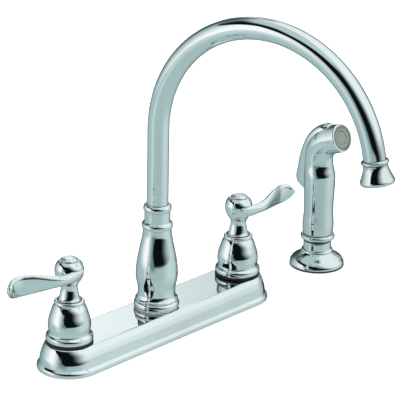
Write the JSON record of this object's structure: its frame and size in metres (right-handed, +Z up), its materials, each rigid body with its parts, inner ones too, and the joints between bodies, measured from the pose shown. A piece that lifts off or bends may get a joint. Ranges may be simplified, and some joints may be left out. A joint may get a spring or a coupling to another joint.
{
  "type": "two handle kitchen faucet",
  "caption": "Deck-mounted kitchen faucet with two lever handles, a swivelling high-arc spout and a lift-out side sprayer with a trigger.",
  "frame": {"origin": "on the sink deck, where the spout's axis meets the underside of the base gasket", "axes": "+Z up along the spout's swivel axis, +X along the base plate towards the cold handle and the sprayer, -Y towards the user"},
  "size_m": [0.3998, 0.2396, 0.331],
  "materials": {
    "chrome": "polished chrome plate",
    "brass": "machined and cast brass",
    "steel": "stainless steel",
    "rubber": "matte black rubber",
    "nylon": "white moulded nylon",
    "grey_plastic": "grey-green moulded plastic",
    "black_plastic": "black moulded plastic"
  },
  "bodies": {
    "base": {"base_plate": "chrome", "base_gasket": "rubber", "hot_valve_body": "brass", "hot_shank_washer": "rubber", "hot_shank_nut": "brass", "hot_seat_spring": "steel", "hot_seat": "rubber", "hot_cartridge": "nylon", "hot_bonnet_nut": "brass", "hot_seal_ring": "rubber", "hot_bell": "chrome", "cold_valve_body": "brass", "cold_shank_washer": "rubber", "cold_shank_nut": "brass", "cold_seat_spring": "steel", "cold_seat": "rubber", "cold_cartridge": "nylon", "cold_bonnet_nut": "brass", "cold_seal_ring": "rubber", "cold_bell": "chrome", "spout_hub": "brass", "hot_crossover": "brass", "cold_crossover": "brass", "hub_oring_lower": "rubber", "hub_oring_upper": "rubber", "spout_glide_ring": "nylon", "spray_guide": "chrome", "spray_guide_washer": "rubber", "spray_guide_nut": "black_plastic"},
    "hot_lever": {"hot_handle": "chrome", "hot_valve_stem": "brass", "hot_handle_screw": "steel", "hot_handle_cap": "chrome"},
    "cold_lever": {"cold_handle": "chrome", "cold_valve_stem": "brass", "cold_handle_screw": "steel", "cold_handle_cap": "chrome"},
    "spout": {"spout_body": "chrome", "spout_set_screw": "steel", "spout_tube": "chrome", "spout_nozzle": "chrome", "aerator": "grey_plastic"},
    "diverter_spool": {"diverter": "black_plastic"},
    "hose_end": {"spray_coupling": "black_plastic", "spray_collar": "chrome"},
    "sprayer": {"spray_body": "chrome", "spray_face": "grey_plastic", "trigger_pin": "steel", "trigger_spring": "steel"},
    "trigger": {"spray_trigger": "chrome"},
    "valve_plunger": {"spray_plunger": "nylon"}
  },
  "joints": [
    {"name": "hot_handle_turn", "type": "hinge", "parent": "base", "child": "hot_lever", "pos_m": [-0.1016, 0, 0.06], "axis": [0, 0, 1], "range_deg": [0, 90]},
    {"name": "cold_handle_turn", "type": "hinge", "parent": "base", "child": "cold_lever", "pos_m": [0.1016, 0, 0.06], "axis": [0, 0, 1], "range_deg": [-90, 0]},
    {"name": "spout_swivel", "type": "hinge", "parent": "base", "child": "spout", "pos_m": [0, 0, 0.03], "axis": [0, 0, 1], "continuous": true},
    {"name": "diverter_shift", "type": "slide", "parent": "base", "child": "diverter_spool", "axis": [0, 0, 1], "range_m": [0, 0.003]},
    {"name": "sprayer_lift", "type": "slide", "parent": "base", "child": "hose_end", "axis": [0, 0, 1], "range_m": [0, 0.12]},
    {"name": "sprayer_swivel", "type": "hinge", "parent": "hose_end", "child": "sprayer", "pos_m": [0.21, 0, 0.036], "axis": [0, 0, 1], "continuous": true},
    {"name": "trigger_press", "type": "hinge", "parent": "sprayer", "child": "trigger", "pos_m": [0.21, -0.00264, 0.12218], "axis": [-1, 0, 0], "range_deg": [0, 5], "stiffness_Nm_per_rad": 3},
    {"name": "plunger_push", "type": "slide", "parent": "sprayer", "child": "valve_plunger", "axis": [0, -1, 0], "range_m": [0, 0.0023], "deforming": ["trigger_spring"]}
  ],
  "couplings": [
    {"joint": "plunger_push", "follows": "trigger_press", "m_per_rad": 0.026}
  ]
}
